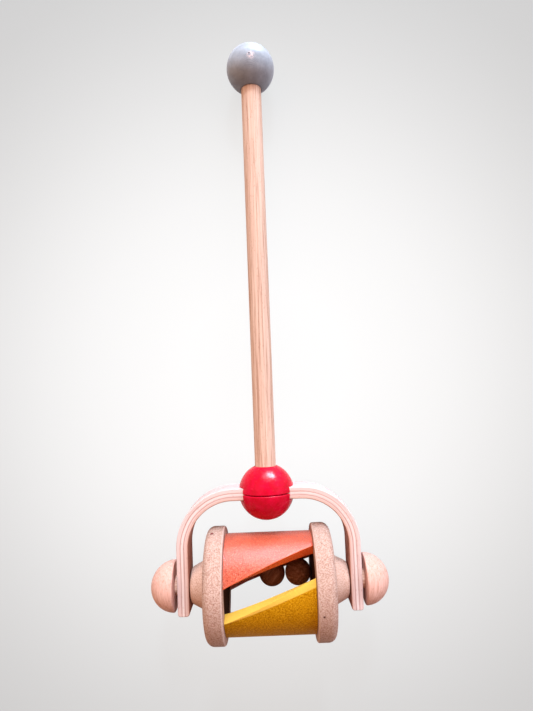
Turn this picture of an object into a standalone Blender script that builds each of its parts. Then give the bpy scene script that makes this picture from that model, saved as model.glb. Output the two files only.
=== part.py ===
# Toddler push toy: a slotted rattle drum that rolls in a bent plywood arch on the end of a push rod.
# Units are metres, +Z is up. The toy lies on a floor at z = 0, on the rims of its discs and on its knob.
# Toy frame: the axle is the origin and runs along X, the rod runs along +Y, the arch lies in the XY plane.
import math

import bmesh
import bpy
from mathutils import Matrix

# Gaps between pieces
FIT_GAP = 0.0003
LEG_PLAY = 0.0008
DOME_GAP = 0.0032
DISC_TO_BALL_GAP = 0.0058

# Push rod and its knob
ROD_DIAMETER = 0.019
ROD_LENGTH = 0.3965
ROD_END_CHAMFER = 0.0008
KNOB_DIAMETER = 0.0455
KNOB_SOCKET_DEPTH = 0.026

# Split ball that holds the rod and the arch
BALL_DIAMETER = 0.050
JOINT_DOWEL_DIAMETER = 0.008
JOINT_DOWEL_IN_ROD = 0.020
JOINT_DOWEL_IN_BALL = 0.011

# Bent plywood arch
PLY_THICKNESS = 0.0103
BAND_WIDTH = 0.027
BEND_INNER_RADIUS = 0.040
LEG_PAST_AXLE = 0.0223
LEG_END_ROUND = 0.0025
BAND_EDGE_ROUND = 0.0008

# Drum discs with their hubs
DRUM_LENGTH = 0.0774
DISC_DIAMETER = 0.0985
DISC_THICKNESS = 0.0166
DISC_OUTER_ROUND = 0.007
DISC_INNER_ROUND = 0.0018
HUB_HEIGHT = 0.0144
HUB_BASE_DIAMETER = 0.044
HUB_END_DIAMETER = 0.0296
HUB_END_ROUND = 0.004

# Stub axles and the half balls on their outer ends
PIN_DIAMETER = 0.016
PIN_IN_HUB = 0.018
PIN_IN_DOME = 0.012
PIN_CHAMFER = 0.0008
DOME_DIAMETER = 0.044
DOME_RIM_ROUND = 0.001

# Curved drum shells. An edge angle is measured from the middle plane between the two shells, at the slot that
# is on top of the drum as it lies. At the other slot the coral shell reaches further round, the yellow one less
RIM_STEP = 0.00665
SHELL_WALL = 0.010
CORAL_EDGE_ROUND = 0.0035
YELLOW_EDGE_ROUND = 0.0012
CORAL_WIDE_EDGE_ANGLE = math.radians(-3.5)
YELLOW_WIDE_EDGE_ANGLE = math.radians(-5.3)
NARROW_EDGE_ANGLE = math.radians(43.0)
CORAL_LOWER_REACH = math.radians(8.0)
YELLOW_LOWER_REACH = math.radians(-12.5)
SHELL_DOWEL_DIAMETER = 0.005
SHELL_DOWEL_IN_SHELL = 0.011
SHELL_DOWEL_IN_DISC = 0.009
SHELL_DOWEL_SPREAD = 0.68

# Loose balls in the drum
RATTLE_DIAMETER = 0.024

# How the toy lies: the slot on top of the drum leans this far from square to the rod, towards the knob
SLOT_LEAN = math.radians(16.75)

# Places that follow from the sizes, in the toy frame
DISC_RADIUS = DISC_DIAMETER / 2
KNOB_RADIUS = KNOB_DIAMETER / 2
BALL_RADIUS = BALL_DIAMETER / 2
SHELL_RADIUS = DISC_RADIUS - RIM_STEP
RATTLE_RADIUS = RATTLE_DIAMETER / 2
DISC_INNER_X = DRUM_LENGTH / 2
DISC_OUTER_X = DISC_INNER_X + DISC_THICKNESS
HUB_END_X = DISC_OUTER_X + HUB_HEIGHT
LEG_INNER_X = HUB_END_X + LEG_PLAY
LEG_CENTRE_X = LEG_INNER_X + PLY_THICKNESS / 2
DOME_FACE_X = LEG_INNER_X + PLY_THICKNESS + DOME_GAP
BALL_Y = DISC_RADIUS + DISC_TO_BALL_GAP + BALL_RADIUS
ROD_START_Y = BALL_Y + PLY_THICKNESS / 2 + FIT_GAP
KNOB_Y = ROD_START_Y + ROD_LENGTH + FIT_GAP - KNOB_SOCKET_DEPTH + KNOB_RADIUS
RATTLE_ORBIT = SHELL_RADIUS - SHELL_WALL - FIT_GAP - RATTLE_RADIUS

# Lying pose: the rod slopes down to the knob, and the length is centred on the origin
LIE_ANGLE = math.asin((DISC_RADIUS - KNOB_RADIUS) / KNOB_Y)
LYING_LENGTH = DISC_RADIUS + KNOB_Y * math.cos(LIE_ANGLE) + KNOB_RADIUS
AXLE_Y = DISC_RADIUS - LYING_LENGTH / 2

# Facets
DISC_STEPS = 48
BALL_STEPS = 32
ROD_STEPS = 28
DOWEL_STEPS = 12
BEND_SEGMENTS = 10
SHELL_SEGMENTS_AROUND = 22
SHELL_SEGMENTS_ALONG = 8

# Turns that bring a piece's own Z axis onto the toy's axes
Z_TO_Y = (-math.pi / 2, 0, 0)
Z_TO_RIGHT = (0, math.pi / 2, 0)
Z_TO_LEFT = (0, -math.pi / 2, 0)


# Start from an empty scene
for old in list(bpy.data.objects):
    bpy.data.objects.remove(old, do_unlink=True)
TOY = bpy.data.collections.new("push_toy")
CUTTERS = bpy.data.collections.new("push_toy_cutters")
bpy.context.scene.collection.children.link(TOY)
bpy.context.scene.collection.children.link(CUTTERS)


def finish(name, colour, roughness):
    """A painted, dyed or bare wood finish."""
    material = bpy.data.materials.new(name)
    material.use_nodes = True
    shader = material.node_tree.nodes["Principled BSDF"]
    shader.inputs["Base Color"].default_value = (*colour, 1.0)
    shader.inputs["Roughness"].default_value = roughness
    shader.inputs["Metallic"].default_value = 0.0
    return material


GREY_PAINT = finish("grey_paint", (0.22, 0.19, 0.19), 0.35)
RED_PAINT = finish("red_paint", (0.70, 0.005, 0.035), 0.35)
BEECH = finish("beech", (0.75, 0.48, 0.34), 0.5)
PLYWOOD = finish("beech_plywood", (0.78, 0.53, 0.43), 0.5)
PRESSED_WOOD = finish("pressed_wood", (0.74, 0.50, 0.38), 0.55)
CORAL_WOOD = finish("coral_pressed_wood", (0.85, 0.17, 0.09), 0.45)
YELLOW_WOOD = finish("yellow_pressed_wood", (0.72, 0.36, 0.03), 0.45)
BROWN_WOOD = finish("brown_wood", (0.35, 0.16, 0.08), 0.5)


def pivot(name, parent, location, turn_about_x):
    """An empty on a joint axis that carries a group of pieces."""
    empty = bpy.data.objects.new(name, None)
    TOY.objects.link(empty)
    empty.parent = parent
    empty.location = location
    empty.rotation_euler = (turn_about_x, 0, 0)
    return empty


def place(name, bm, parent, location, rotation, material):
    """Makes a piece from a bmesh, or a hidden cutter where there is no material."""
    mesh = bpy.data.meshes.new(name)
    bm.to_mesh(mesh)
    bm.free()
    piece = bpy.data.objects.new(name, mesh)
    piece.parent = parent
    piece.location = location
    piece.rotation_euler = rotation
    if material is None:
        CUTTERS.objects.link(piece)
        piece.hide_render = True
        piece.display_type = "WIRE"
    else:
        TOY.objects.link(piece)
        mesh.materials.append(material)
        mesh.shade_smooth()
        mesh.set_sharp_from_angle(angle=math.radians(40))
    return piece


def arc(centre_x, centre_z, radius, start, end, segments):
    """Points of a circular arc in a turning profile, with angles in degrees."""
    angles = [math.radians(start + (end - start) * i / segments) for i in range(segments + 1)]
    return [(centre_x + radius * math.cos(a), centre_z + radius * math.sin(a)) for a in angles]


def turned(name, profile, steps, parent, location, rotation, material, closed=False):
    """A piece turned about its own Z axis from a profile of (radius, height) points."""
    bm = bmesh.new()
    verts = [bm.verts.new((x, 0, z)) for x, z in profile]
    for first, second in zip(verts, verts[1:]):
        bm.edges.new((first, second))
    if closed:
        bm.edges.new((verts[-1], verts[0]))
    piece = place(name, bm, parent, location, rotation, material)
    screw = piece.modifiers.new("turning", "SCREW")
    screw.axis = "Z"
    screw.steps = steps
    screw.render_steps = steps
    screw.use_merge_vertices = True
    screw.merge_threshold = 0.00001
    screw.use_smooth_shade = True
    return piece


def rod_profile(radius, length, chamfer):
    """Outer profile of a plain round bar, from the middle of its top to the chamfer at its foot."""
    return [(0, length), (radius - chamfer, length), (radius, length - chamfer), (radius, chamfer),
            (radius - chamfer, 0)]


def bore_cutter(name, radius, length, steps, parent, location, rotation):
    """A round cutter centred on a hole."""
    bm = bmesh.new()
    bmesh.ops.create_cone(bm, cap_ends=True, segments=steps, radius1=radius, radius2=radius, depth=length)
    return place(name, bm, parent, location, rotation, None)


def cut(piece, cutter):
    """Cuts a hole or a channel in a piece."""
    boolean = piece.modifiers.new(cutter.name, "BOOLEAN")
    boolean.operation = "DIFFERENCE"
    boolean.solver = "EXACT"
    boolean.object = cutter


# Joint axes: the frame lies on the floor, the drum turns in the frame, the loose balls run round in the drum
frame_pivot = pivot("frame_pivot", None, (0, AXLE_Y, DISC_RADIUS), -LIE_ANGLE)
drum_pivot = pivot("drum_pivot", frame_pivot, (0, 0, 0), -SLOT_LEAN)
rattle_pivot = pivot("rattle_pivot", drum_pivot, (0, 0, 0), SLOT_LEAN + LIE_ANGLE)


# Knob: a turned ball with a blind socket for the rod
def make_knob():
    socket_radius = ROD_DIAMETER / 2 + FIT_GAP
    mouth = -math.degrees(math.acos(socket_radius / KNOB_RADIUS))
    socket_end = KNOB_SOCKET_DEPTH - KNOB_RADIUS
    profile = arc(0, 0, KNOB_RADIUS, 90, mouth, 13)
    profile[0] = (0, KNOB_RADIUS)
    profile += [(socket_radius, socket_end), (0, socket_end)]
    turned("handle_knob", profile, BALL_STEPS, frame_pivot, (0, KNOB_Y, 0), Z_TO_Y, GREY_PAINT)


# Rod: a plain dowel, drilled in its lower end for the joint dowel
def make_rod():
    bore = JOINT_DOWEL_DIAMETER / 2 + FIT_GAP
    depth = JOINT_DOWEL_IN_ROD + FIT_GAP
    profile = rod_profile(ROD_DIAMETER / 2, ROD_LENGTH, ROD_END_CHAMFER)
    profile += [(bore, 0), (bore, depth), (0, depth)]
    turned("push_rod", profile, ROD_STEPS, frame_pivot, (0, ROD_START_Y, 0), Z_TO_Y, BEECH)


# Arch: one strip that follows the middle line of the ply, thickened both ways
def arch_strip(width):
    bend = BEND_INNER_RADIUS + PLY_THICKNESS / 2
    centre_x = LEG_CENTRE_X - bend
    centre_y = BALL_Y - bend
    path = [(LEG_CENTRE_X, -LEG_PAST_AXLE)]
    path += arc(centre_x, centre_y, bend, 0, 90, BEND_SEGMENTS)
    path += [(-x, y) for x, y in reversed(path)]
    bm = bmesh.new()
    verts = [bm.verts.new((x, y, -width / 2)) for x, y in path]
    side = [bm.edges.new(pair) for pair in zip(verts, verts[1:])]
    swept = bmesh.ops.extrude_edge_only(bm, edges=side)["geom"]
    moved = [v for v in swept if isinstance(v, bmesh.types.BMVert)]
    bmesh.ops.translate(bm, verts=moved, vec=(0, 0, width))
    bmesh.ops.recalc_face_normals(bm, faces=bm.faces[:])
    return bm


def thicken(piece, ply):
    solidify = piece.modifiers.new("ply", "SOLIDIFY")
    solidify.thickness = ply
    solidify.offset = 0
    solidify.use_even_offset = True


def make_arch():
    bm = arch_strip(BAND_WIDTH)
    weight = bm.edges.layers.float.new("bevel_weight_edge")
    for edge in bm.edges:
        if edge.is_boundary:
            across = abs(edge.verts[0].co.z - edge.verts[1].co.z) > BAND_WIDTH / 2
            edge[weight] = 1.0 if across else BAND_EDGE_ROUND / LEG_END_ROUND
    arch = place("arch", bm, frame_pivot, (0, 0, 0), (0, 0, 0), PLYWOOD)
    thicken(arch, PLY_THICKNESS)
    rounding = arch.modifiers.new("rounded_edges", "BEVEL")
    rounding.limit_method = "WEIGHT"
    rounding.width = LEG_END_ROUND
    rounding.segments = 2
    for side, sign in (("left", -1), ("right", 1)):
        hole = bore_cutter("leg_hole_" + side, PIN_DIAMETER / 2 + FIT_GAP, PLY_THICKNESS * 2, ROD_STEPS,
                           frame_pivot, (sign * LEG_CENTRE_X, 0, 0), Z_TO_RIGHT)
        cut(arch, hole)
    hole = bore_cutter("arch_dowel_hole", JOINT_DOWEL_DIAMETER / 2 + FIT_GAP, PLY_THICKNESS * 2, DOWEL_STEPS,
                       frame_pivot, (0, BALL_Y, 0), Z_TO_Y)
    cut(arch, hole)


# Split ball: the two halves meet on the middle of the ply and close round the bar of the arch
def make_ball_halves():
    rod_bore = ROD_DIAMETER / 2 + FIT_GAP
    dowel_bore = JOINT_DOWEL_DIAMETER / 2 + FIT_GAP
    seam = FIT_GAP / 2
    seam_angle = math.degrees(math.asin(seam / BALL_RADIUS))
    mouth = math.degrees(math.acos(rod_bore / BALL_RADIUS))
    dowel_end = -PLY_THICKNESS / 2 - JOINT_DOWEL_IN_BALL - FIT_GAP
    upper = arc(0, 0, BALL_RADIUS, mouth, seam_angle, 7)
    upper += [(rod_bore, seam)]
    lower = [(0, dowel_end), (dowel_bore, dowel_end), (dowel_bore, -seam)]
    lower += arc(0, 0, BALL_RADIUS, -seam_angle, -90, 9)
    lower[-1] = (0, -BALL_RADIUS)
    centre = (0, BALL_Y, 0)
    upper_half = turned("joint_ball_upper", upper, BALL_STEPS, frame_pivot, centre, Z_TO_Y, RED_PAINT, closed=True)
    lower_half = turned("joint_ball_lower", lower, BALL_STEPS, frame_pivot, centre, Z_TO_Y, RED_PAINT)
    bm = arch_strip(BAND_WIDTH + 2 * FIT_GAP)
    channel = place("ball_channel", bm, frame_pivot, (0, 0, 0), (0, 0, 0), None)
    thicken(channel, PLY_THICKNESS + 2 * FIT_GAP)
    cut(upper_half, channel)
    cut(lower_half, channel)
    dowel_start = BALL_Y - PLY_THICKNESS / 2 - JOINT_DOWEL_IN_BALL
    dowel_length = JOINT_DOWEL_IN_BALL + PLY_THICKNESS + FIT_GAP + JOINT_DOWEL_IN_ROD
    profile = rod_profile(JOINT_DOWEL_DIAMETER / 2, dowel_length, PIN_CHAMFER) + [(0, 0)]
    turned("joint_dowel", profile, DOWEL_STEPS, frame_pivot, (0, dowel_start, 0), Z_TO_Y, BEECH)


# Disc: turned with its hub, and bored for the stub axle. Its own Z axis points out of the drum
def make_disc(side, sign, rotation):
    bore = PIN_DIAMETER / 2 + FIT_GAP
    hub_top = DISC_THICKNESS + HUB_HEIGHT
    bore_end = hub_top - PIN_IN_HUB - FIT_GAP
    base = HUB_BASE_DIAMETER / 2
    end = HUB_END_DIAMETER / 2
    lean = math.atan2(base - end, HUB_HEIGHT)
    round_start = end - HUB_END_ROUND * math.tan((math.pi / 2 - lean) / 2)
    profile = [(0, bore_end), (bore, bore_end), (bore, hub_top)]
    profile += arc(round_start, hub_top - HUB_END_ROUND, HUB_END_ROUND, 90, math.degrees(lean), 5)
    profile.append((base, DISC_THICKNESS))
    profile += arc(DISC_RADIUS - DISC_OUTER_ROUND, DISC_THICKNESS - DISC_OUTER_ROUND, DISC_OUTER_ROUND, 90, 0, 5)
    profile += arc(DISC_RADIUS - DISC_INNER_ROUND, DISC_INNER_ROUND, DISC_INNER_ROUND, 0, -90, 2)
    profile.append((0, 0))
    disc = turned("drum_disc_" + side, profile, DISC_STEPS, drum_pivot, (sign * DISC_INNER_X, 0, 0), rotation,
                  PRESSED_WOOD)
    return disc


# Stub axle and the half ball glued on its outer end
def make_axle_end(side, sign, rotation):
    length = PIN_IN_HUB + LEG_PLAY + PLY_THICKNESS + DOME_GAP + PIN_IN_DOME
    profile = rod_profile(PIN_DIAMETER / 2, length, PIN_CHAMFER) + [(0, 0)]
    start_x = sign * (HUB_END_X - PIN_IN_HUB)
    turned("axle_pin_" + side, profile, ROD_STEPS, drum_pivot, (start_x, 0, 0), rotation, BEECH)
    radius = DOME_DIAMETER / 2
    bore = PIN_DIAMETER / 2 + FIT_GAP
    depth = PIN_IN_DOME + FIT_GAP
    rim = math.degrees(math.asin(DOME_RIM_ROUND / radius))
    profile = arc(0, 0, radius, 90, rim, 8)
    profile[0] = (0, radius)
    profile += [(radius - DOME_RIM_ROUND, 0), (bore, 0), (bore, depth), (0, depth)]
    turned("end_dome_" + side, profile, BALL_STEPS, drum_pivot, (sign * DOME_FACE_X, 0, 0), rotation, BEECH)


# Shell: a sheet cut to a taper, rolled round the drum axis and thickened outwards
def edge_turn(around, along, facing):
    """The angle of a point of a shell, where around and along run from -1 to 1 over the flat sheet."""
    wide_end = -facing
    toward_wide = (1 + along * wide_end) / 2
    wide_edge = CORAL_WIDE_EDGE_ANGLE if facing > 0 else YELLOW_WIDE_EDGE_ANGLE
    span = math.pi / 2 - NARROW_EDGE_ANGLE - (wide_edge - NARROW_EDGE_ANGLE) * toward_wide
    if around < 0:
        span += CORAL_LOWER_REACH if facing > 0 else YELLOW_LOWER_REACH
    return around * span


def make_shell(name, facing, edge_round, material):
    inner = SHELL_RADIUS - SHELL_WALL
    length = DRUM_LENGTH - 2 * FIT_GAP
    bm = bmesh.new()
    slot_side = bm.verts.layers.int.new("slot_side")
    bmesh.ops.create_grid(bm, x_segments=SHELL_SEGMENTS_ALONG, y_segments=SHELL_SEGMENTS_AROUND, size=1)
    for vert in bm.verts:
        vert[slot_side] = int(abs(vert.co.y) > 0.999)
        angle = edge_turn(vert.co.y, vert.co.x, facing)
        vert.co = (vert.co.x * length / 2, facing * inner * math.cos(angle), inner * math.sin(angle))
    grown = bmesh.ops.extrude_face_region(bm, geom=bm.faces[:])["geom"]
    outer = [v for v in grown if isinstance(v, bmesh.types.BMVert)]
    stretch = SHELL_RADIUS / inner
    bmesh.ops.scale(bm, verts=outer, vec=(1, stretch, stretch))
    bmesh.ops.recalc_face_normals(bm, faces=bm.faces[:])
    slot_edges = []
    for edge in bm.edges:
        first, second = edge.verts
        along = abs(first.co.x - second.co.x) > length / SHELL_SEGMENTS_ALONG / 2
        if along and first[slot_side] and second[slot_side]:
            slot_edges.append(edge)
    bmesh.ops.bevel(bm, geom=slot_edges, offset=edge_round, segments=3, profile=0.5, affect="EDGES",
                    clamp_overlap=True, material=-1)
    return place(name, bm, drum_pivot, (0, 0, 0), (0, 0, 0), material)


# Glue dowels: two in each end of a shell, half way through its wall
def pin_shell(shell, short_name, facing, discs):
    radius = SHELL_RADIUS - SHELL_WALL / 2
    gap_length = SHELL_DOWEL_IN_SHELL + SHELL_DOWEL_IN_DISC + 2 * FIT_GAP
    for side, sign, rotation in (("left", -1, Z_TO_LEFT), ("right", 1, Z_TO_RIGHT)):
        for letter, turn in (("a", -1), ("b", 1)):
            angle = edge_turn(turn * SHELL_DOWEL_SPREAD, sign, facing)
            y = facing * radius * math.cos(angle)
            z = radius * math.sin(angle)
            tag = short_name + "_" + side + "_" + letter
            middle_x = sign * (DISC_INNER_X + (SHELL_DOWEL_IN_DISC - SHELL_DOWEL_IN_SHELL) / 2)
            hole = bore_cutter("dowel_hole_" + tag, SHELL_DOWEL_DIAMETER / 2 + FIT_GAP, gap_length, DOWEL_STEPS,
                               drum_pivot, (middle_x, y, z), rotation)
            cut(shell, hole)
            cut(discs[sign], hole)
            length = SHELL_DOWEL_IN_SHELL + SHELL_DOWEL_IN_DISC
            profile = rod_profile(SHELL_DOWEL_DIAMETER / 2, length, PIN_CHAMFER) + [(0, 0)]
            start_x = sign * (DISC_INNER_X - SHELL_DOWEL_IN_SHELL)
            turned("shell_dowel_" + tag, profile, DOWEL_STEPS, drum_pivot, (start_x, y, z), rotation, BEECH)


# Loose balls: side by side at the bottom of the drum, the second against the right disc
def make_rattle_balls():
    x = DISC_INNER_X - FIT_GAP - RATTLE_RADIUS
    for letter in ("b", "a"):
        bm = bmesh.new()
        bmesh.ops.create_uvsphere(bm, u_segments=20, v_segments=12, radius=RATTLE_RADIUS)
        bmesh.ops.transform(bm, matrix=Matrix.Translation((x, 0, -RATTLE_ORBIT)), verts=bm.verts[:])
        place("rattle_ball_" + letter, bm, rattle_pivot, (0, 0, 0), (0, 0, 0), BROWN_WOOD)
        x -= RATTLE_DIAMETER + FIT_GAP


make_knob()
make_rod()
make_arch()
make_ball_halves()
drum_discs = {-1: make_disc("left", -1, Z_TO_LEFT), 1: make_disc("right", 1, Z_TO_RIGHT)}
make_axle_end("left", -1, Z_TO_LEFT)
make_axle_end("right", 1, Z_TO_RIGHT)
coral = make_shell("coral_shell", 1, CORAL_EDGE_ROUND, CORAL_WOOD)
pin_shell(coral, "coral", 1, drum_discs)
yellow = make_shell("yellow_shell", -1, YELLOW_EDGE_ROUND, YELLOW_WOOD)
pin_shell(yellow, "yellow", -1, drum_discs)
make_rattle_balls()
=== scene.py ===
import math

import bmesh
import bpy
from mathutils import Matrix, Vector


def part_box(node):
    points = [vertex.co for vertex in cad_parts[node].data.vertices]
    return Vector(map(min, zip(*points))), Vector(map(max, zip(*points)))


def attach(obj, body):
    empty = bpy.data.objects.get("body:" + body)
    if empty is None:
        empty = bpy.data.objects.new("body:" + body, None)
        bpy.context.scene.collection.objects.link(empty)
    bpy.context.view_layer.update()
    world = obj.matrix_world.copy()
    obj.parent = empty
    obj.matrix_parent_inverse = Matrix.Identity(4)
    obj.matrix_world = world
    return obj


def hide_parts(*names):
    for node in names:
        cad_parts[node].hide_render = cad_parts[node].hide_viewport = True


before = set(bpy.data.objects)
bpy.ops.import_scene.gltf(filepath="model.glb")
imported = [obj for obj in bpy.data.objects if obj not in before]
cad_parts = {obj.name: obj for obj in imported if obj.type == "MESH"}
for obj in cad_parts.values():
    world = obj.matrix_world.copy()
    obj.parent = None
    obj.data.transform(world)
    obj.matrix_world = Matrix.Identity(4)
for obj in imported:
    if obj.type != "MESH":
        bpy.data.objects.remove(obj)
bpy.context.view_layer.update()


# Drum discs: the two end plates of the rattle drum, each with a rounded hub on its outer side.
# Pressed in one piece from wood fibre and resin, then sanded and left bare. Each is bored for its
# stub axle, and for the four glue dowels that hold the curved shells.
disc_radius = 0.04925
disc_thickness = 0.0166
disc_inner_x = 0.0387
hub_height = 0.0144
hub_base_radius = 0.022
hub_end_radius = 0.0148
hub_end_round = 0.0025
pin_bore_radius = 0.0083
pin_bore_depth = 0.0183
shell_dowel_bore_radius = 0.0028
disc_outer_round = 0.007
disc_inner_round = 0.0018
fit_gap = 0.0003
axle_y = -0.225908
lie_angle = math.radians(-3.1711)
slot_lean = math.radians(-16.75)

toy_place = Matrix.Translation((0, axle_y, disc_radius)) @ Matrix.Rotation(lie_angle, 4, "X")
drum_place = toy_place @ Matrix.Rotation(slot_lean, 4, "X")
side_signs = {"left": -1, "right": 1}
side_turns = {side: Matrix.Rotation(sign * math.radians(90), 4, "Y") for side, sign in side_signs.items()}


def turned(profile, steps):
    """Turns a profile of (radius, height) points about Z, as on a lathe."""
    bm = bmesh.new()
    points = [bm.verts.new((radius, 0, height)) for radius, height in profile]
    lines = [bm.edges.new(pair) for pair in zip(points, points[1:])]
    bmesh.ops.spin(bm, geom=points + lines, cent=(0, 0, 0), axis=(0, 0, 1), angle=math.tau, steps=steps,
                   use_merge=True)
    bmesh.ops.remove_doubles(bm, verts=bm.verts[:], dist=0.000001)
    bmesh.ops.recalc_face_normals(bm, faces=bm.faces[:])
    return bm


def rim(bm, radius, height):
    """The edges of a turned piece that lie on one ring."""
    found = []
    for edge in bm.edges:
        off = [abs(math.hypot(v.co.x, v.co.y) - radius) + abs(v.co.z - height) for v in edge.verts]
        if max(off) < 0.00002:
            found.append(edge)
    return found


def soften(bm, edges, width, segments):
    """Rounds edges over, as sanding does."""
    bmesh.ops.bevel(bm, geom=edges, offset=width, segments=segments, profile=0.5, affect="EDGES",
                    clamp_overlap=True, material=-1)


def shade_evenly(piece, crisp=35):
    """Shades rounds smoothly and flats flat, and keeps edges sharper than an angle."""
    piece.data.shade_smooth()
    piece.data.set_sharp_from_angle(angle=math.radians(crisp))
    even = piece.modifiers.new("even_shading", "WEIGHTED_NORMAL")
    even.keep_sharp = True


def piece_of(name, bm, place, finish):
    """Makes a piece that sits in its place in the toy."""
    bmesh.ops.transform(bm, matrix=place, verts=bm.verts[:])
    mesh = bpy.data.meshes.new(name)
    bm.to_mesh(mesh)
    bm.free()
    mesh.materials.append(finish)
    piece = bpy.data.objects.new(name, mesh)
    bpy.context.scene.collection.objects.link(piece)
    shade_evenly(piece)
    return piece


def carve(piece, tool):
    """Cuts a hole or a channel in a piece with a tool shape, and keeps only the cut piece."""
    tool_mesh = bpy.data.meshes.new("tool")
    tool.to_mesh(tool_mesh)
    tool.free()
    tool_object = bpy.data.objects.new("tool", tool_mesh)
    bpy.context.scene.collection.objects.link(tool_object)
    piece.modifiers.clear()
    boolean = piece.modifiers.new("cut", "BOOLEAN")
    boolean.operation = "DIFFERENCE"
    boolean.solver = "EXACT"
    boolean.object = tool_object
    whole = piece.data
    cut = piece.evaluated_get(bpy.context.evaluated_depsgraph_get())
    piece.data = bpy.data.meshes.new_from_object(cut)
    piece.modifiers.clear()
    bpy.data.objects.remove(tool_object)
    bpy.data.meshes.remove(tool_mesh)
    bpy.data.meshes.remove(whole)
    piece.data.name = piece.name
    shade_evenly(piece)


def dowel_drill(names):
    """Drills of the size of the shells' dowel holes, where those dowels sit."""
    bm = bmesh.new()
    for name in names:
        low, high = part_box(name)
        place = Matrix.Translation((low + high) / 2) @ side_turns["right"]
        bmesh.ops.create_cone(bm, cap_ends=True, segments=24, radius1=shell_dowel_bore_radius,
                              radius2=shell_dowel_bore_radius, depth=high.x - low.x + 2 * fit_gap,
                              matrix=place)
    return bm


def tone(red, green, blue):
    """A colour as it looks on a screen, 0 to 255, in the form that a shader takes."""
    light = []
    for value in (red / 255, green / 255, blue / 255):
        light.append(value / 12.92 if value <= 0.04045 else ((value + 0.055) / 1.055) ** 2.4)
    return (*light, 1.0)


def new_finish(name, roughness):
    """A fresh finish with its node tree and its shader."""
    finish = bpy.data.materials.new(name)
    finish.use_nodes = True
    shader = finish.node_tree.nodes["Principled BSDF"]
    shader.inputs["Roughness"].default_value = roughness
    return finish, finish.node_tree, shader


def add(tree, kind, **values):
    """Adds a shader node. Names with a capital are its inputs, the others its settings."""
    made = tree.nodes.new("ShaderNode" + kind)
    for name, value in values.items():
        if name[0].islower():
            setattr(made, name, value)
        elif isinstance(value, bpy.types.NodeSocket):
            tree.links.new(made.inputs[name], value)
        else:
            made.inputs[name].default_value = value
    return made


def ramp(tree, factor, *stops):
    """Colours a factor by stops of (place, colour)."""
    made = add(tree, "ValToRGB", Fac=factor)
    row = made.color_ramp.elements
    row[0].position, row[0].color = stops[0]
    row[1].position, row[1].color = stops[-1]
    for position, colour in stops[1:-1]:
        row.new(position).color = colour
    return made.outputs["Color"]


def sum_of(tree, operation, first, second):
    """Sums with two values, of which either may be a socket."""
    made = add(tree, "Math", operation=operation)
    for socket, value in zip(made.inputs, (first, second)):
        if isinstance(value, bpy.types.NodeSocket):
            tree.links.new(socket, value)
        else:
            socket.default_value = value
    return made.outputs["Value"]


def fade(tree, value, start, end, low=0.0, high=1.0):
    """Takes a value from one span to another."""
    made = add(tree, "MapRange", Value=value)
    made.inputs["From Min"].default_value = start
    made.inputs["From Max"].default_value = end
    made.inputs["To Min"].default_value = low
    made.inputs["To Max"].default_value = high
    return made.outputs["Result"]


def spot(tree, place, centre, radius, soft):
    """A mask that is 1 within a radius of a point."""
    reach = add(tree, "VectorMath", operation="DISTANCE")
    tree.links.new(reach.inputs[0], place)
    reach.inputs[1].default_value = centre
    return fade(tree, reach.outputs["Value"], radius - soft, radius + soft, 1.0, 0.0)


def pressed_fibre(name, deep, body, pale, speck, roughness, shine):
    """Fine wood fibre bound with resin: close grit, cloudy patches and small dark specks."""
    finish, tree, shader = new_finish(name, roughness)
    shader.inputs["Specular IOR Level"].default_value = shine
    place = add(tree, "TexCoord").outputs["Object"]
    fibre = add(tree, "TexNoise", Vector=place, Scale=850.0, Detail=3.0, Roughness=0.7).outputs["Fac"]
    colour = ramp(tree, fibre, (0.36, deep), (0.50, body), (0.64, pale))
    cloud = add(tree, "TexNoise", Vector=place, Scale=75.0, Detail=3.0, Roughness=0.6).outputs["Fac"]
    shade = ramp(tree, cloud, (0.30, (0.93, 0.92, 0.91, 1)), (0.62, (1, 1, 1, 1)))
    colour = add(tree, "MixRGB", blend_type="MULTIPLY", Fac=1.0, Color1=colour,
                 Color2=shade).outputs["Color"]
    cells = add(tree, "TexVoronoi", Vector=place, Scale=800.0)
    dot = fade(tree, cells.outputs["Distance"], 0.18, 0.34, 0.8, 0.0)
    chance = add(tree, "SeparateColor", Color=cells.outputs["Color"]).outputs["Red"]
    specks = sum_of(tree, "MULTIPLY", dot, fade(tree, chance, 0.84, 1.0))
    colour = add(tree, "MixRGB", Fac=specks, Color1=colour, Color2=speck).outputs["Color"]
    tree.links.new(shader.inputs["Base Color"], colour)
    uneven = fade(tree, fibre, 0.3, 0.7, roughness + 0.07, roughness - 0.07)
    tree.links.new(shader.inputs["Roughness"], uneven)
    height = sum_of(tree, "SUBTRACT", fibre, specks)
    bump = add(tree, "Bump", Strength=0.9, Distance=0.0004, Height=height)
    tree.links.new(shader.inputs["Normal"], bump.outputs["Normal"])
    return finish, tree, shader, place


def mark(tree, shader, mask, colour):
    """Lays a colour over a finish where a mask says."""
    under = shader.inputs["Base Color"].links[0].from_socket
    made = add(tree, "MixRGB", Fac=mask, Color1=under, Color2=colour)
    tree.links.new(shader.inputs["Base Color"], made.outputs["Color"])


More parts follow.
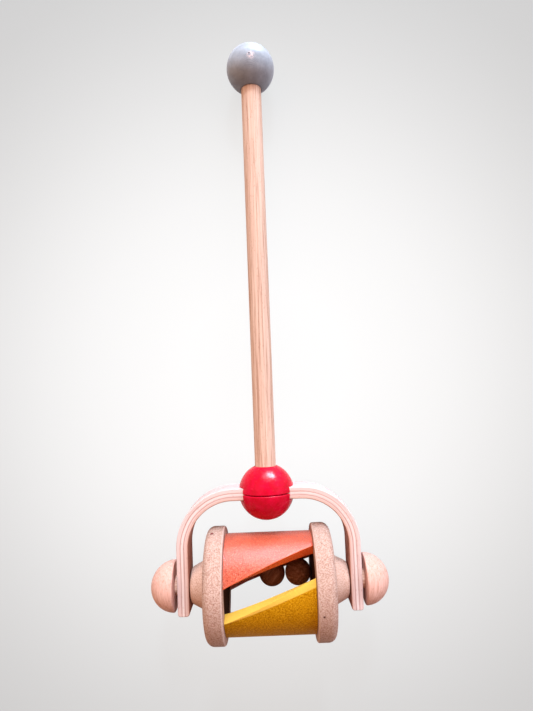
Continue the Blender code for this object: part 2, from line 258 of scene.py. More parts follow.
bare_fibre, tree, shader, place = pressed_fibre("bare_pressed_wood", tone(167, 125, 113), tone(192, 160, 149),
                                                tone(207, 179, 170), tone(82, 45, 32), 0.55, 0.015)
red_smear = spot(tree, place, (-0.0493, -0.1777, 0.0594), 0.0014, 0.0005)
mark(tree, shader, red_smear, tone(110, 26, 36))
dark_chip = spot(tree, place, (0.0432, -0.2352, 0.0976), 0.0009, 0.0005)
mark(tree, shader, dark_chip, tone(80, 40, 32))
across = add(tree, "VectorMath", operation="MULTIPLY")
tree.links.new(across.inputs[0], place)
across.inputs[1].default_value = (0, 1, 1)
off_axle = add(tree, "VectorMath", operation="DISTANCE")
tree.links.new(off_axle.inputs[0], across.outputs["Vector"])
off_axle.inputs[1].default_value = (0, *toy_place.translation.yz)
off_middle = sum_of(tree, "ABSOLUTE", add(tree, "SeparateXYZ", Vector=place).outputs["X"], 0.0)
# Painted highlight: a pale band along the rounded inner rim of each disc, where light glints on that edge.
painted_rim_glint = sum_of(tree, "MULTIPLY", fade(tree, off_axle.outputs["Value"], 0.0478, 0.0486, 0.0, 0.4),
                  fade(tree, off_middle, 0.0392, 0.0401, 1.0, 0.0))
mark(tree, shader, painted_rim_glint, tone(246, 222, 214))
# Painted shade: the discs' inner faces inside the shells are painted dark brown, as the inside of the drum
# lies in shade.
darkened = sum_of(tree, "MULTIPLY", fade(tree, off_axle.outputs["Value"], 0.0320, 0.0332, 1.0, 0.0),
                 fade(tree, off_middle, 0.0388, 0.0392, 1.0, 0.0))
mark(tree, shader, darkened, tone(54, 27, 16))
# Painted light: both hubs are painted a little paler than the rest of the disc, as if lit more brightly.
hub_painted_light = fade(tree, off_middle, 0.0551, 0.0562, 0.0, 0.25)
mark(tree, shader, hub_painted_light, tone(238, 194, 174))

for side, sign in side_signs.items():
    hub_top = disc_thickness + hub_height
    bore_end = hub_top - pin_bore_depth
    profile = [(0, bore_end), (pin_bore_radius, bore_end), (pin_bore_radius, hub_top)]
    profile += [(hub_end_radius, hub_top), (hub_base_radius, disc_thickness), (disc_radius, disc_thickness)]
    profile += [(disc_radius, 0), (0, 0)]
    bm = turned(profile, 160)
    soften(bm, rim(bm, hub_end_radius, hub_top), hub_end_round, 8)
    soften(bm, rim(bm, disc_radius, disc_thickness), disc_outer_round, 10)
    soften(bm, rim(bm, disc_radius, 0), disc_inner_round, 5)
    place = drum_place @ Matrix.Translation((sign * disc_inner_x, 0, 0)) @ side_turns[side]
    disc = piece_of("turned_disc_" + side, bm, place, bare_fibre)
    names = [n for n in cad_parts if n.startswith("shell_dowel") and "_" + side + "_" in n]
    carve(disc, dowel_drill(sorted(names)))
    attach(disc, "drum")
    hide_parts("drum_disc_" + side)


# Drum shells: the two curved walls between the discs, one coral and one yellow, with slanted edges
# that leave a wedge-shaped slot on each side. Pressed from dyed wood fibre in a thick curved sheet,
# cut to a taper, rounded along the slot edges and glued to the discs on two dowels at each end.
shell_radius = 0.0426
shell_wall = 0.010
shell_length = 0.0768
narrow_edge_angle = math.radians(43)
wide_edge_angles = {"coral": math.radians(-3.5), "yellow": math.radians(-5.3)}
lower_reaches = {"coral": math.radians(8), "yellow": math.radians(-12.5)}
slot_edge_rounds = {"coral": 0.0035, "yellow": 0.0012}
shell_facings = {"coral": 1, "yellow": -1}
# The width of the band of painted light beside each shell's cut face, at the shell's wide end.
lit_band_widths = {"coral": 0.0, "yellow": 0.0066}
lit_band_blur = 0.0004


def curved_shell(shade):
    """A tapered sheet, rolled round the drum's axle and thickened outwards."""
    inner = shell_radius - shell_wall
    facing = shell_facings[shade]
    bm = bmesh.new()
    on_slot = bm.verts.layers.int.new("on_slot")
    bmesh.ops.create_grid(bm, x_segments=36, y_segments=96, size=1)
    for vert in bm.verts:
        vert[on_slot] = int(abs(vert.co.y) > 0.999)
        toward_wide = (1 - vert.co.x * facing) / 2
        edge_angle = narrow_edge_angle + (wide_edge_angles[shade] - narrow_edge_angle) * toward_wide
        reach = math.pi / 2 - edge_angle
        if vert.co.y < 0:
            reach += lower_reaches[shade]
        angle = vert.co.y * reach
        vert.co = (vert.co.x * shell_length / 2, facing * inner * math.cos(angle), inner * math.sin(angle))
    grown = bmesh.ops.extrude_face_region(bm, geom=bm.faces[:])["geom"]
    outer = [v for v in grown if isinstance(v, bmesh.types.BMVert)]
    bmesh.ops.scale(bm, verts=outer, vec=(1, shell_radius / inner, shell_radius / inner))
    bmesh.ops.recalc_face_normals(bm, faces=bm.faces[:])
    slot_edges = []
    for edge in bm.edges:
        first, second = edge.verts
        if first[on_slot] and second[on_slot] and abs(first.co.x - second.co.x) > 0.001:
            slot_edges.append(edge)
    soften(bm, slot_edges, slot_edge_rounds[shade], 6)
    return bm


def paint_cut_light(tree, shader, share, colour):
    """Painted light: lays a paler colour over the cut face of the upper slot edge, and over a band beside it,
    as if lit.
    """
    past = add(tree, "Attribute", attribute_name="past_lit_band").outputs["Fac"]
    mark(tree, shader, fade(tree, past, -lit_band_blur, lit_band_blur, share, 0.0), colour)


coral_fibre, tree, shader = pressed_fibre("coral_pressed_wood", tone(171, 57, 38), tone(203, 91, 66),
                                          tone(220, 122, 99), tone(145, 47, 30), 0.27, 0.25)[:3]
# Painted light: the coral's cut face gets a brighter orange, standing in for light bounced onto it inside the
# drum; the yellow's cut face and a band beside it get a paler yellow, as if lit.
paint_cut_light(tree, shader, 0.8, tone(246, 108, 52))
yellow_fibre, tree, shader = pressed_fibre("yellow_pressed_wood", tone(158, 100, 2), tone(193, 133, 8),
                                           tone(212, 159, 31), tone(117, 61, 2), 0.5, 0.04)[:3]
paint_cut_light(tree, shader, 0.7, tone(246, 202, 94))


def note_lit_band(piece, shade):
    """Gives each point its distance past the band of painted light, which widens towards the shell's wide
    end.
    """
    band_width = lit_band_widths[shade]
    back = drum_place.inverted()
    past = piece.data.attributes.new("past_lit_band", "FLOAT", "POINT")
    for vert, slot in zip(piece.data.vertices, past.data):
        spot_at = back @ vert.co
        toward_wide = 0.5 - spot_at.x * shell_facings[shade] / shell_length
        edge_angle = narrow_edge_angle + (wide_edge_angles[shade] - narrow_edge_angle) * toward_wide
        angle = math.atan2(spot_at.z, spot_at.y * shell_facings[shade])
        off_edge = (math.pi / 2 - edge_angle - angle) * shell_radius
        slot.value = off_edge - band_width * toward_wide - lit_band_blur


for shade, finish in (("coral", coral_fibre), ("yellow", yellow_fibre)):
    shell = piece_of("curved_shell_" + shade, curved_shell(shade), drum_place, finish)
    names = [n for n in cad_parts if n.startswith("shell_dowel_" + shade)]
    carve(shell, dowel_drill(sorted(names)))
    note_lit_band(shell, shade)
    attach(shell, "drum")
    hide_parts(shade + "_shell")


# Rattle balls: two loose wooden balls that tumble inside the drum.
# Turned from brown-stained beech and tumbled smooth; nothing fixes them.
rattle_radius = 0.012
bare_wood_shine = 0.01
wave_period = 0.314


def beech_grain(tree, place, turn, pith, ring_gap):
    """Growth rings round a pith line along Y, long fibres and short ray flecks, each as a factor."""
    board = add(tree, "Mapping", Vector=place, Location=pith, Rotation=turn).outputs["Vector"]
    rings = add(tree, "TexWave", wave_type="RINGS", rings_direction="Y", wave_profile="SAW", Vector=board,
                Scale=wave_period / ring_gap, Distortion=2.2, Detail=3.0)
    rings.inputs["Detail Scale"].default_value = 0.5
    rings.inputs["Detail Roughness"].default_value = 0.6
    long_way = add(tree, "Mapping", Vector=board, Scale=(620, 14, 620)).outputs["Vector"]
    fibres = add(tree, "TexNoise", Vector=long_way, Scale=1.0, Detail=5.0, Roughness=0.65).outputs["Fac"]
    fleck_way = add(tree, "Mapping", Vector=board, Scale=(1500, 260, 1500)).outputs["Vector"]
    cells = add(tree, "TexVoronoi", Vector=fleck_way, Scale=1.0)
    chance = add(tree, "SeparateColor", Color=cells.outputs["Color"]).outputs["Red"]
    flecks = sum_of(tree, "MULTIPLY", fade(tree, cells.outputs["Distance"], 0.15, 0.32, 1.0, 0.0),
                    fade(tree, chance, 0.70, 0.80))
    return rings.outputs["Fac"], fibres, flecks


def wood(name, deep, body, pale, fleck, roughness, turn, pith, ring_gap, ring_depth):
    """Sanded beech with its rings, fibres and flecks."""
    finish, tree, shader = new_finish(name, roughness)
    shader.inputs["Specular IOR Level"].default_value = bare_wood_shine
    place = add(tree, "TexCoord").outputs["Object"]
    rings, fibres, flecks = beech_grain(tree, place, turn, pith, ring_gap)
    colour = ramp(tree, fibres, (0.32, deep), (0.50, body), (0.68, pale))
    ring_shade = ramp(tree, rings, (0.0, (1, 1, 1, 1)), (0.75, (0.96, 0.94, 0.92, 1)),
                      (1.0, (0.86, 0.80, 0.76, 1)))
    colour = add(tree, "MixRGB", blend_type="MULTIPLY", Fac=ring_depth, Color1=colour,
                 Color2=ring_shade).outputs["Color"]
    colour = add(tree, "MixRGB", Fac=sum_of(tree, "MULTIPLY", flecks, 0.55), Color1=colour,
                 Color2=fleck).outputs["Color"]
    tree.links.new(shader.inputs["Base Color"], colour)
    uneven = fade(tree, fibres, 0.3, 0.7, roughness + 0.08, roughness - 0.06)
    tree.links.new(shader.inputs["Roughness"], uneven)
    height = sum_of(tree, "SUBTRACT", fibres, flecks)
    bump = add(tree, "Bump", Strength=0.3, Distance=0.0002, Height=height)
    tree.links.new(shader.inputs["Normal"], bump.outputs["Normal"])
    return finish, tree, shader, place


for letter, turn in (("a", (0.4, 0.2, 0.7)), ("b", (1.3, 0.5, -0.6))):
    darkened = wood("brown_stained_beech_" + letter, tone(118, 69, 49), tone(149, 91, 66), tone(178, 120, 95),
                   tone(69, 40, 29), 0.5, turn, (0.02, 0, 0.01), 0.003, 1.0)[0]
    bm = bmesh.new()
    bmesh.ops.create_uvsphere(bm, u_segments=64, v_segments=40, radius=rattle_radius)
    low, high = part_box("rattle_ball_" + letter)
    ball = piece_of("loose_ball_" + letter, bm, Matrix.Translation((low + high) / 2), darkened)
    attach(ball, "rattle_ball_" + letter)
    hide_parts("rattle_ball_" + letter)


# Stub axles: two plain beech dowels, glued into the hubs of the discs.
# They turn in the holes of the arch's legs, and carry the half balls on their outer ends.
pin_radius = 0.008
pin_length = 0.0443
pin_start_x = 0.0517
dowel_end_round = 0.0008

pin_beech = wood("axle_beech", tone(214, 158, 134), tone(238, 196, 176), tone(250, 220, 206),
                 tone(150, 96, 74), 0.55, (0, 0, math.radians(90)), (0.0, 0, 0.03), 0.0028, 0.6)[0]
for side, sign in side_signs.items():
    profile = [(0, pin_length), (pin_radius, pin_length), (pin_radius, 0), (0, 0)]
    bm = turned(profile, 72)
    soften(bm, rim(bm, pin_radius, 0) + rim(bm, pin_radius, pin_length), dowel_end_round, 3)
    place = drum_place @ Matrix.Translation((sign * pin_start_x, 0, 0)) @ side_turns[side]
    pin = piece_of("stub_axle_" + side, bm, place, pin_beech)
    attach(pin, "drum")
    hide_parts("axle_pin_" + side)


# Arch: the fork that the drum rolls in, one strip of beech plywood bent to a flat-topped arch.
# Two thick plies are glued on a thin core in a mould, so their edges show as stripes round the bend.
# Its legs are drilled for the stub axles, and its bar for the dowel of the split ball.
ply = 0.0103
band = 0.027
leg_x = 0.07565
leg_end_y = -0.0223
bar_y = 0.08005
bend = 0.04515
joint_dowel_bore = 0.0043
leg_end_round = 0.0025
band_edge_round = 0.0008


def bent_strip():
    """Sweeps the strip's cross-section up the left leg, over the bar and down the right leg."""
    bend_x = leg_x - bend
    bend_y = bar_y - bend
    bm = bmesh.new()
    corners = [(-leg_x - ply / 2, -band / 2), (-leg_x + ply / 2, -band / 2), (-leg_x + ply / 2, band / 2),
               (-leg_x - ply / 2, band / 2)]
    end = bm.faces.new([bm.verts.new((x, leg_end_y, z)) for x, z in corners]).edges[:]
    for run in ((0, bend_y - leg_end_y), -bend_x, (2 * bend_x, 0), bend_x, (0, leg_end_y - bend_y)):
        if isinstance(run, tuple):
            grown = bmesh.ops.extrude_edge_only(bm, edges=end)["geom"]
            moved = {v for v in grown if isinstance(v, bmesh.types.BMVert)}
            bmesh.ops.translate(bm, verts=list(moved), vec=(*run, 0))
        else:
            grown = bmesh.ops.spin(bm, geom=end, cent=(run, bend_y, 0), axis=(0, 0, 1), angle=-math.pi / 2,
                                   steps=32)["geom_last"]
            moved = {v for v in grown if isinstance(v, bmesh.types.BMVert)}
        end = [e for e in grown if isinstance(e, bmesh.types.BMEdge) and set(e.verts) <= moved]
    bmesh.ops.edgeloop_fill(bm, edges=end)
    bmesh.ops.recalc_face_normals(bm, faces=bm.faces[:])
    leg_corners = []
    for edge in bm.edges:
        first, second = edge.verts
        if abs(first.co.z - second.co.z) > band / 2 and max(first.co.y, second.co.y) < leg_end_y + 0.0001:
            leg_corners.append(edge)
    soften(bm, leg_corners, leg_end_round, 6)
    outline = []
    for edge in bm.edges:
        if min(abs(v.co.z) for v in edge.verts) > band / 2 - 0.00001 and edge.calc_face_angle(0) > 1.0:
            outline.append(edge)
    soften(bm, outline, band_edge_round, 3)
    return bm


def ply_places(piece):
    """Gives each point its place along the strip, through the plies and across the band."""
    bend_x = leg_x - bend
    bend_y = bar_y - bend
    turn = bend * math.pi / 2
    back = toy_place.inverted()
    places = piece.data.attributes.new("ply_place", "FLOAT_VECTOR", "POINT")
    for vert, slot in zip(piece.data.vertices, places.data):
        spot_at = back @ vert.co
        side = -1 if spot_at.x < 0 else 1
        x = abs(spot_at.x)
        if x < bend_x:
            along, through = x, spot_at.y - bar_y
        elif spot_at.y < bend_y:
            along, through = bend_x + turn + bend_y - spot_at.y, x - leg_x
        else:
            angle = math.atan2(x - bend_x, spot_at.y - bend_y)
            along, through = bend_x + bend * angle, math.hypot(x - bend_x, spot_at.y - bend_y) - bend
        slot.vector = (side * along, through, spot_at.z)


def bent_ply(name):
    """Plywood whose stripes and grain follow the bend."""
    finish, tree, shader = new_finish(name, 0.5)
    shader.inputs["Specular IOR Level"].default_value = bare_wood_shine
    place = add(tree, "Attribute", attribute_name="ply_place").outputs["Vector"]
    through = add(tree, "SeparateXYZ", Vector=place).outputs["Y"]
    waver = add(tree, "TexNoise", Vector=place, Scale=45.0, Detail=2.0).outputs["Fac"]
    level = sum_of(tree, "ADD", fade(tree, through, -ply / 2, ply / 2),
                   fade(tree, waver, 0.0, 1.0, -0.04, 0.04))
    thick = tone(221, 195, 193)
    line = tone(190, 149, 144)
    core = tone(228, 212, 212)
    # The first two stops paint the strip's inner face and the ply edge next to it a darker brown: painted
    # shade on the strip's inner side.
    stripes = ramp(tree, level, (0.0, tone(176, 122, 106)), (0.10, tone(215, 179, 170)), (0.29, thick),
                   (0.32, line), (0.35, line), (0.40, thick), (0.46, core), (0.55, core), (0.60, thick),
                   (0.625, line), (0.65, line), (0.69, thick), (1.0, tone(223, 199, 200)))
    long_way = add(tree, "Mapping", Vector=place, Scale=(22, 900, 520)).outputs["Vector"]
    fibres = add(tree, "TexNoise", Vector=long_way, Scale=1.0, Detail=5.0, Roughness=0.65).outputs["Fac"]
    shade = ramp(tree, fibres, (0.30, (0.80, 0.73, 0.70, 1)), (0.52, (1, 1, 1, 1)),
                 (0.75, (1.06, 1.06, 1.05, 1)))
    colour = add(tree, "MixRGB", blend_type="MULTIPLY", Fac=1.0, Color1=stripes,
                 Color2=shade).outputs["Color"]
    fleck_way = add(tree, "Mapping", Vector=place, Scale=(240, 1500, 1500)).outputs["Vector"]
    cells = add(tree, "TexVoronoi", Vector=fleck_way, Scale=1.0)
    chance = add(tree, "SeparateColor", Color=cells.outputs["Color"]).outputs["Red"]
    flecks = sum_of(tree, "MULTIPLY", fade(tree, cells.outputs["Distance"], 0.15, 0.32, 1.0, 0.0),
                    fade(tree, chance, 0.72, 0.82))
    colour = add(tree, "MixRGB", Fac=sum_of(tree, "MULTIPLY", flecks, 0.5), Color1=colour,
                 Color2=tone(158, 104, 88)).outputs["Color"]
    tree.links.new(shader.inputs["Base Color"], colour)
    tree.links.new(shader.inputs["Roughness"], fade(tree, fibres, 0.3, 0.7, 0.58, 0.44))
    height = sum_of(tree, "SUBTRACT", fibres, flecks)
    bump = add(tree, "Bump", Strength=0.3, Distance=0.0002, Height=height)
    tree.links.new(shader.inputs["Normal"], bump.outputs["Normal"])
    return finish


arch = piece_of("bent_arch", bent_strip(), toy_place, bent_ply("bent_beech_plywood"))
drill = bmesh.new()
for sign in side_signs.values():
    place = toy_place @ Matrix.Translation((sign * leg_x, 0, 0)) @ side_turns["right"]
    bmesh.ops.create_cone(drill, cap_ends=True, segments=72, radius1=pin_bore_radius, radius2=pin_bore_radius,
                          depth=ply * 2, matrix=place)
rod_turn = Matrix.Rotation(math.radians(-90), 4, "X")
place = toy_place @ Matrix.Translation((0, bar_y, 0)) @ rod_turn
bmesh.ops.create_cone(drill, cap_ends=True, segments=32, radius1=joint_dowel_bore, radius2=joint_dowel_bore,
                      depth=ply * 2, matrix=place)
carve(arch, drill)
ply_places(arch)
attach(arch, "frame")
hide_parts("arch")


# End domes: the two half balls outside the legs, which keep the drum in the arch.
# Turned from beech, sanded and left bare; bored from the flat side and glued on the stub axles.
dome_radius = 0.022
dome_face_x = 0.0840
dome_bore_depth = 0.0123
dome_rim_round = 0.001


def ball_part(radius, low, high, rings):
    """A ball with its ends sliced off flat, open at the cuts."""
    bm = bmesh.new()
    bmesh.ops.create_uvsphere(bm, u_segments=112, v_segments=rings, radius=radius)
    if low > -radius:
        bmesh.ops.bisect_plane(bm, geom=bm.verts[:] + bm.edges[:] + bm.faces[:], plane_co=(0, 0, low),
                               plane_no=(0, 0, 1), clear_inner=True)
    if high < radius:
        bmesh.ops.bisect_plane(bm, geom=bm.verts[:] + bm.edges[:] + bm.faces[:], plane_co=(0, 0, high),
                               plane_no=(0, 0, 1), clear_outer=True)
    bmesh.ops.remove_doubles(bm, verts=bm.verts[:], dist=0.00001)
    return bm


def carry_in(bm, height, rings):
    """Carries the open edge at a height on through rings of (radius, height), and gives the last edge."""
    edge = [e for e in bm.edges if e.is_boundary and max(abs(v.co.z - height) for v in e.verts) < 0.00001]
    for radius, level in rings:
        grown = bmesh.ops.extrude_edge_only(bm, edges=edge)["geom"]
        moved = {v for v in grown if isinstance(v, bmesh.types.BMVert)}
        for vert in moved:
            scale = radius / math.hypot(vert.co.x, vert.co.y)
            vert.co = (vert.co.x * scale, vert.co.y * scale, level)
        edge = [e for e in grown if isinstance(e, bmesh.types.BMEdge) and set(e.verts) <= moved]
    return edge


for side, sign in side_signs.items():
    dome_beech = wood("dome_beech_" + side, tone(205, 155, 140), tone(220, 175, 165), tone(230, 191, 183),
                      tone(143, 91, 69), 0.5, (0.06, 0, 0.1 * sign), (-sign * 0.035, 0, 0.012), 0.0034,
                      0.5)[0]
    bm = ball_part(dome_radius, 0, dome_radius, 44)
    last = carry_in(bm, 0, [(pin_bore_radius, 0), (pin_bore_radius, dome_bore_depth)])
    bmesh.ops.edgeloop_fill(bm, edges=last)
    bmesh.ops.recalc_face_normals(bm, faces=bm.faces[:])
    soften(bm, rim(bm, dome_radius, 0), dome_rim_round, 4)
    place = drum_place @ Matrix.Translation((sign * dome_face_x, 0, 0)) @ side_turns[side]
    dome = piece_of("half_ball_" + side, bm, place, dome_beech)
    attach(dome, "drum")
    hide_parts("end_dome_" + side)


# Split ball: two red half balls that close round the bar of the arch and hold the rod.
# Turned from beech, sawn in half, channelled for the strip, dipped in red paint and glued on a dowel.
ball_radius = 0.025
ball_seam = 0.00025
seam_round = 0.0009
rod_bore_radius = 0.0098
ball_dowel_depth = 0.01645
bore_mouth_round = 0.0005
channel_length = 0.08


def paint_on_wood(name, deep, body, pale, roughness, shine, turn, grain_height):
    """Paint over turned wood: slight clouding, a fine orange peel, and the grain just showing through."""
    finish, tree, shader = new_finish(name, roughness)
    shader.inputs["Specular IOR Level"].default_value = shine
    place = add(tree, "TexCoord").outputs["Object"]
    cloud = add(tree, "TexNoise", Vector=place, Scale=120.0, Detail=4.0, Roughness=0.65).outputs["Fac"]
    colour = ramp(tree, cloud, (0.30, deep), (0.50, body), (0.72, pale))
    rings, fibres, flecks = beech_grain(tree, place, turn, (0.03, 0, 0.02), 0.003)
    shade = ramp(tree, flecks, (0.0, (1, 1, 1, 1)), (1.0, (0.86, 0.86, 0.86, 1)))
    colour = add(tree, "MixRGB", blend_type="MULTIPLY", Fac=1.0, Color1=colour,
                 Color2=shade).outputs["Color"]
    tree.links.new(shader.inputs["Base Color"], colour)
    peel = add(tree, "TexNoise", Vector=place, Scale=420.0, Detail=2.0).outputs["Fac"]
    uneven = fade(tree, peel, 0.3, 0.7, roughness - 0.05, roughness + 0.07)
    tree.links.new(shader.inputs["Roughness"], uneven)
    height = sum_of(tree, "ADD", sum_of(tree, "MULTIPLY", fibres, grain_height),
                    sum_of(tree, "MULTIPLY", peel, 0.5))
    bump = add(tree, "Bump", Strength=0.35, Distance=0.0003, Height=height)
    tree.links.new(shader.inputs["Normal"], bump.outputs["Normal"])
    return finish, tree, shader, place


red_paint = paint_on_wood("red_paint_on_beech", tone(182, 0, 25), tone(199, 0, 42), tone(210, 2, 55), 0.22,
                          0.16, (0, 0, 1.2), 1.6)[0]
ball_place = toy_place @ Matrix.Translation((0, bar_y, 0)) @ rod_turn

for half in ("upper", "lower"):
    if half == "upper":
        mouth = math.sqrt(ball_radius ** 2 - rod_bore_radius ** 2)
        bm = ball_part(ball_radius, ball_seam, mouth, 56)
        bore_end = carry_in(bm, mouth, [(rod_bore_radius, ball_seam)])
        seam_edge = [e for e in bm.edges if e.is_boundary and e not in bore_end]
        bmesh.ops.bridge_loops(bm, edges=seam_edge + bore_end)
        bmesh.ops.recalc_face_normals(bm, faces=bm.faces[:])
        soften(bm, rim(bm, rod_bore_radius, mouth), bore_mouth_round, 3)
        soften(bm, rim(bm, math.sqrt(ball_radius ** 2 - ball_seam ** 2), ball_seam), seam_round, 4)
    else:
        bm = ball_part(ball_radius, -ball_radius, -ball_seam, 56)
        rings = [(joint_dowel_bore, -ball_seam), (joint_dowel_bore, -ball_dowel_depth)]
        bmesh.ops.edgeloop_fill(bm, edges=carry_in(bm, -ball_seam, rings))
        bmesh.ops.recalc_face_normals(bm, faces=bm.faces[:])
        soften(bm, rim(bm, math.sqrt(ball_radius ** 2 - ball_seam ** 2), -ball_seam), seam_round, 4)
    half_ball = piece_of("red_half_" + half, bm, ball_place, red_paint)
    channel = bmesh.new()
    bmesh.ops.create_cube(channel, size=1)
    channel_size = (channel_length, ply + 2 * fit_gap, band + 2 * fit_gap)
    bmesh.ops.scale(channel, verts=channel.verts[:], vec=channel_size)
    bmesh.ops.transform(channel, verts=channel.verts[:],
                        matrix=toy_place @ Matrix.Translation((0, bar_y, 0)))
    carve(half_ball, channel)
    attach(half_ball, "frame")
    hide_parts("joint_ball_" + half)


# Push rod: a straight beech dowel of stock size, sanded and left bare.
# Its lower end is glued into the red ball on a dowel, and its upper end into the knob.
rod_radius = 0.0095
rod_length = 0.3965
rod_start_y = 0.0855
rod_dowel_depth = 0.0203

rod_beech = wood("rod_beech", tone(172, 130, 112), tone(215, 181, 166), tone(226, 197, 183),
                 tone(153, 96, 72), 0.5, (-lie_angle, 0, 0), (0.026, 0, 0.004), 0.0026, 0.6)[0]
profile = [(0, rod_length), (rod_radius, rod_length), (rod_radius, 0), (joint_dowel_bore, 0),
           (joint_dowel_bore, rod_dowel_depth), (0, rod_dowel_depth)]
bm = turned(profile, 112)
soften(bm, rim(bm, rod_radius, 0) + rim(bm, rod_radius, rod_length), dowel_end_round, 3)
rod = piece_of("beech_rod", bm, toy_place @ Matrix.Translation((0, rod_start_y, 0)) @ rod_turn, rod_beech)
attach(rod, "frame")
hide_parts("push_rod")


# Handle knob: the grey ball that a child holds.
# Turned from beech across the rod, so a lathe-centre mark shows on its side, then bored, dipped in grey
# paint and glued on the rod.
knob_radius = 0.02275
knob_y = 0.47905
knob_socket_end = 0.00325

grey_paint, tree, shader, place = paint_on_wood("grey_paint_on_beech", tone(141, 144, 156),
                                                tone(153, 157, 169), tone(165, 169, 182), 0.42, 0.11,
                                                (0.2, 0, 0.3), 1.0)
mark_at = (-0.0004, 0.2550, 0.0453)
lathe_way = add(tree, "VectorMath", operation="SUBTRACT")
tree.links.new(lathe_way.inputs[0], place)
lathe_way.inputs[1].default_value = mark_at
turning = add(tree, "TexWave", wave_type="RINGS", rings_direction="Z", Vector=lathe_way.outputs["Vector"],
              Scale=230.0, Distortion=1.5, Detail=2.0).outputs["Fac"]
rings_here = sum_of(tree, "MULTIPLY", spot(tree, place, (0.0010, 0.2500, 0.0452), 0.0065, 0.0020),
                    fade(tree, turning, 0.55, 0.95, 0.0, 0.4))
mark(tree, shader, rings_here, tone(112, 104, 106))
blotch = add(tree, "TexNoise", Vector=place, Scale=520.0, Detail=3.0).outputs["Fac"]
worn = sum_of(tree, "MULTIPLY", spot(tree, place, (0.0010, 0.2534, 0.0454), 0.0030, 0.0016),
              fade(tree, blotch, 0.40, 0.58))
mark(tree, shader, worn, tone(216, 192, 194))
mark(tree, shader, spot(tree, place, mark_at, 0.0007, 0.0004), tone(64, 48, 56))

mouth = -math.sqrt(knob_radius ** 2 - rod_bore_radius ** 2)
bm = ball_part(knob_radius, mouth, knob_radius, 72)
bmesh.ops.edgeloop_fill(bm, edges=carry_in(bm, mouth, [(rod_bore_radius, knob_socket_end)]))
bmesh.ops.recalc_face_normals(bm, faces=bm.faces[:])
soften(bm, rim(bm, rod_bore_radius, mouth), bore_mouth_round, 3)
knob = piece_of("grey_knob", bm, toy_place @ Matrix.Translation((0, knob_y, 0)) @ rod_turn, grey_paint)
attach(knob, "frame")
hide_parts("handle_knob")


# Glue dowels: the hidden beech dowels of the shells and of the split ball, kept from the solids.
# Cut from plain dowel stock with chamfered ends and pushed into glued holes.
dowel_beech = wood("glue_dowel_beech", tone(206, 150, 124), tone(232, 186, 162), tone(246, 210, 192),
                   tone(150, 98, 76), 0.6, (0, 0, math.radians(90)), (0, 0, 0.03), 0.0025, 0.8)[0]
for name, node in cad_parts.items():
    if "dowel" in name:
        node.data.materials.clear()
        node.data.materials.append(dowel_beech)


# Floor: a wide pale sheet under the toy, bright below the middle of the toy and greyer outwards.
# Most of what the camera sees is its own paleness, and the rest is lit and keeps the toy's soft shadow.
# Reflections show the lit sheet alone, and it throws less light back on the toy than it shows.
floor_finish = bpy.data.materials.new("pale_floor")
floor_finish.use_nodes = True
tree = floor_finish.node_tree
tree.nodes.clear()
place = add(tree, "TexCoord").outputs["Object"]
reach = add(tree, "VectorMath", operation="DISTANCE")
tree.links.new(reach.inputs[0], place)
reach.inputs[1].default_value = (0.0032, -0.0369, 0)
greys = ((0.08, 0.99), (0.14, 0.954), (0.18, 0.923), (0.22, 0.877), (0.26, 0.824), (0.30, 0.767),
         (0.34, 0.715), (0.38, 0.669), (0.42, 0.632), (0.48, 0.605))
grey_reach = 0.5
lit_share = 0.08
lit_level = 0.95
sheet_grey = 0.80
bounce_grey = 0.35
stops = []
for distance, grey in greys:
    own_grey = (grey - lit_share * lit_level) / (1 - lit_share)
    stops.append((distance / grey_reach, (own_grey, own_grey, own_grey, 1)))
paleness = ramp(tree, sum_of(tree, "DIVIDE", reach.outputs["Value"], grey_reach), *stops)
glow = add(tree, "Emission", Color=paleness, Strength=1.0)
path = add(tree, "LightPath")
seen = sum_of(tree, "MAXIMUM", path.outputs["Is Camera Ray"], path.outputs["Is Transmission Ray"])
sheet_colour = fade(tree, path.outputs["Is Diffuse Ray"], 0.0, 1.0, sheet_grey, bounce_grey)
sheet = add(tree, "BsdfDiffuse", Color=sheet_colour)
mixed = add(tree, "MixShader", Fac=sum_of(tree, "MULTIPLY", seen, 1 - lit_share))
tree.links.new(mixed.inputs[1], sheet.outputs["BSDF"])
tree.links.new(mixed.inputs[2], glow.outputs["Emission"])
tree.links.new(add(tree, "OutputMaterial").inputs["Surface"], mixed.outputs["Shader"])
bm = bmesh.new()
bmesh.ops.create_grid(bm, x_segments=8, y_segments=8, size=4)
floor = piece_of("floor", bm, Matrix.Identity(4), floor_finish)


# Light: one cool window beyond the knob, low and near, with soft suns that don't show in reflections: cool
# from the sky, nearly white from the right, and warm from the left and the ceiling, as the room is. The low
# gleam shows in reflections alone, as the sheen on the paint and on the coral shell.
world = bpy.data.worlds.new("soft_room")
bpy.context.scene.world = world
world.use_nodes = True
tree = world.node_tree
tree.nodes.clear()
room = add(tree, "Background", Color=(1.0, 0.53, 0.33, 1), Strength=0.07)
backdrop = add(tree, "Background", Color=(0.605, 0.605, 0.605, 1), Strength=1.0)
path = add(tree, "LightPath")
seen = sum_of(tree, "MAXIMUM", path.outputs["Is Camera Ray"], path.outputs["Is Transmission Ray"])
seen = sum_of(tree, "MAXIMUM", seen, path.outputs["Is Glossy Ray"])
mixed = add(tree, "MixShader", Fac=seen)
tree.links.new(mixed.inputs[1], room.outputs["Background"])
tree.links.new(mixed.inputs[2], backdrop.outputs["Background"])
tree.links.new(add(tree, "OutputWorld").inputs["Surface"], mixed.outputs["Shader"])


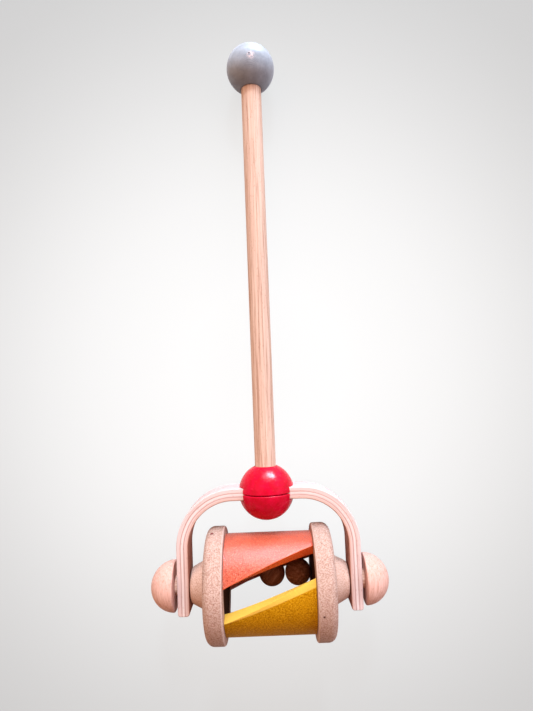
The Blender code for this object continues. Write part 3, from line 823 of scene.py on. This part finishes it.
def light_from(kind, name, colour, strength, elevation, azimuth, distance=0.0):
    """A light that shines on the drum. Azimuth is measured from +Y towards +X."""
    lamp = bpy.data.lights.new(name, kind)
    lamp.color = colour
    lamp.energy = strength
    light = bpy.data.objects.new(name, lamp)
    rise, turn = math.radians(elevation), math.radians(azimuth)
    way = Vector((math.sin(turn) * math.cos(rise), math.cos(turn) * math.cos(rise), math.sin(rise)))
    near_drum = Vector((0, -0.2, 0.04))
    place = Matrix.Translation(near_drum + way * distance)
    light.matrix_world = place @ way.to_track_quat("Z", "Y").to_matrix().to_4x4()
    bpy.context.scene.collection.objects.link(light)
    return light


window = light_from("AREA", "window", (0.66, 0.86, 1.0), 10.5, 16, 3, 1.2)
window.data.shape = "RECTANGLE"
window.data.size = 0.55
window.data.size_y = 0.50
soft_suns = (("sky", (0.74, 0.90, 1.0), 2.1, 31, 4, 8), ("left_wall", (1.0, 0.71, 0.48), 1.80, 40, -52, 62),
             ("right_wall", (0.92, 0.90, 0.94), 2.4, 28, 62, 60),
             ("ceiling", (1.0, 0.52, 0.36), 0.90, 80, 0, 110))
for name, colour, strength, elevation, azimuth, spread in soft_suns:
    light = light_from("SUN", name, colour, strength, elevation, azimuth)
    light.data.angle = math.radians(spread)
    light.visible_glossy = False
gleam = light_from("SUN", "gleam", (0.66, 0.84, 1.0), 17.0, 3, 17)
gleam.data.angle = math.radians(24)
gleam.visible_diffuse = False


# Camera: straight above the toy, turned a little so that the rod leans as it does in the photograph.
# Its place, its turn and its lens are fitted to the toy's outlines there.
lens = bpy.data.cameras.new("camera")
lens.sensor_width = 36
lens.lens = 25.78
camera = bpy.data.objects.new("camera", lens)
camera.matrix_world = Matrix(((0.99923, 0.03915, 0.00184, 0.00573),
                              (-0.03912, 0.99913, -0.01435, -0.0298),
                              (-0.00240, 0.01427, 0.99990, 0.5083), (0, 0, 0, 1)))
bpy.context.scene.collection.objects.link(camera)
bpy.context.scene.camera = camera
bpy.context.scene.view_settings.view_transform = "Standard"
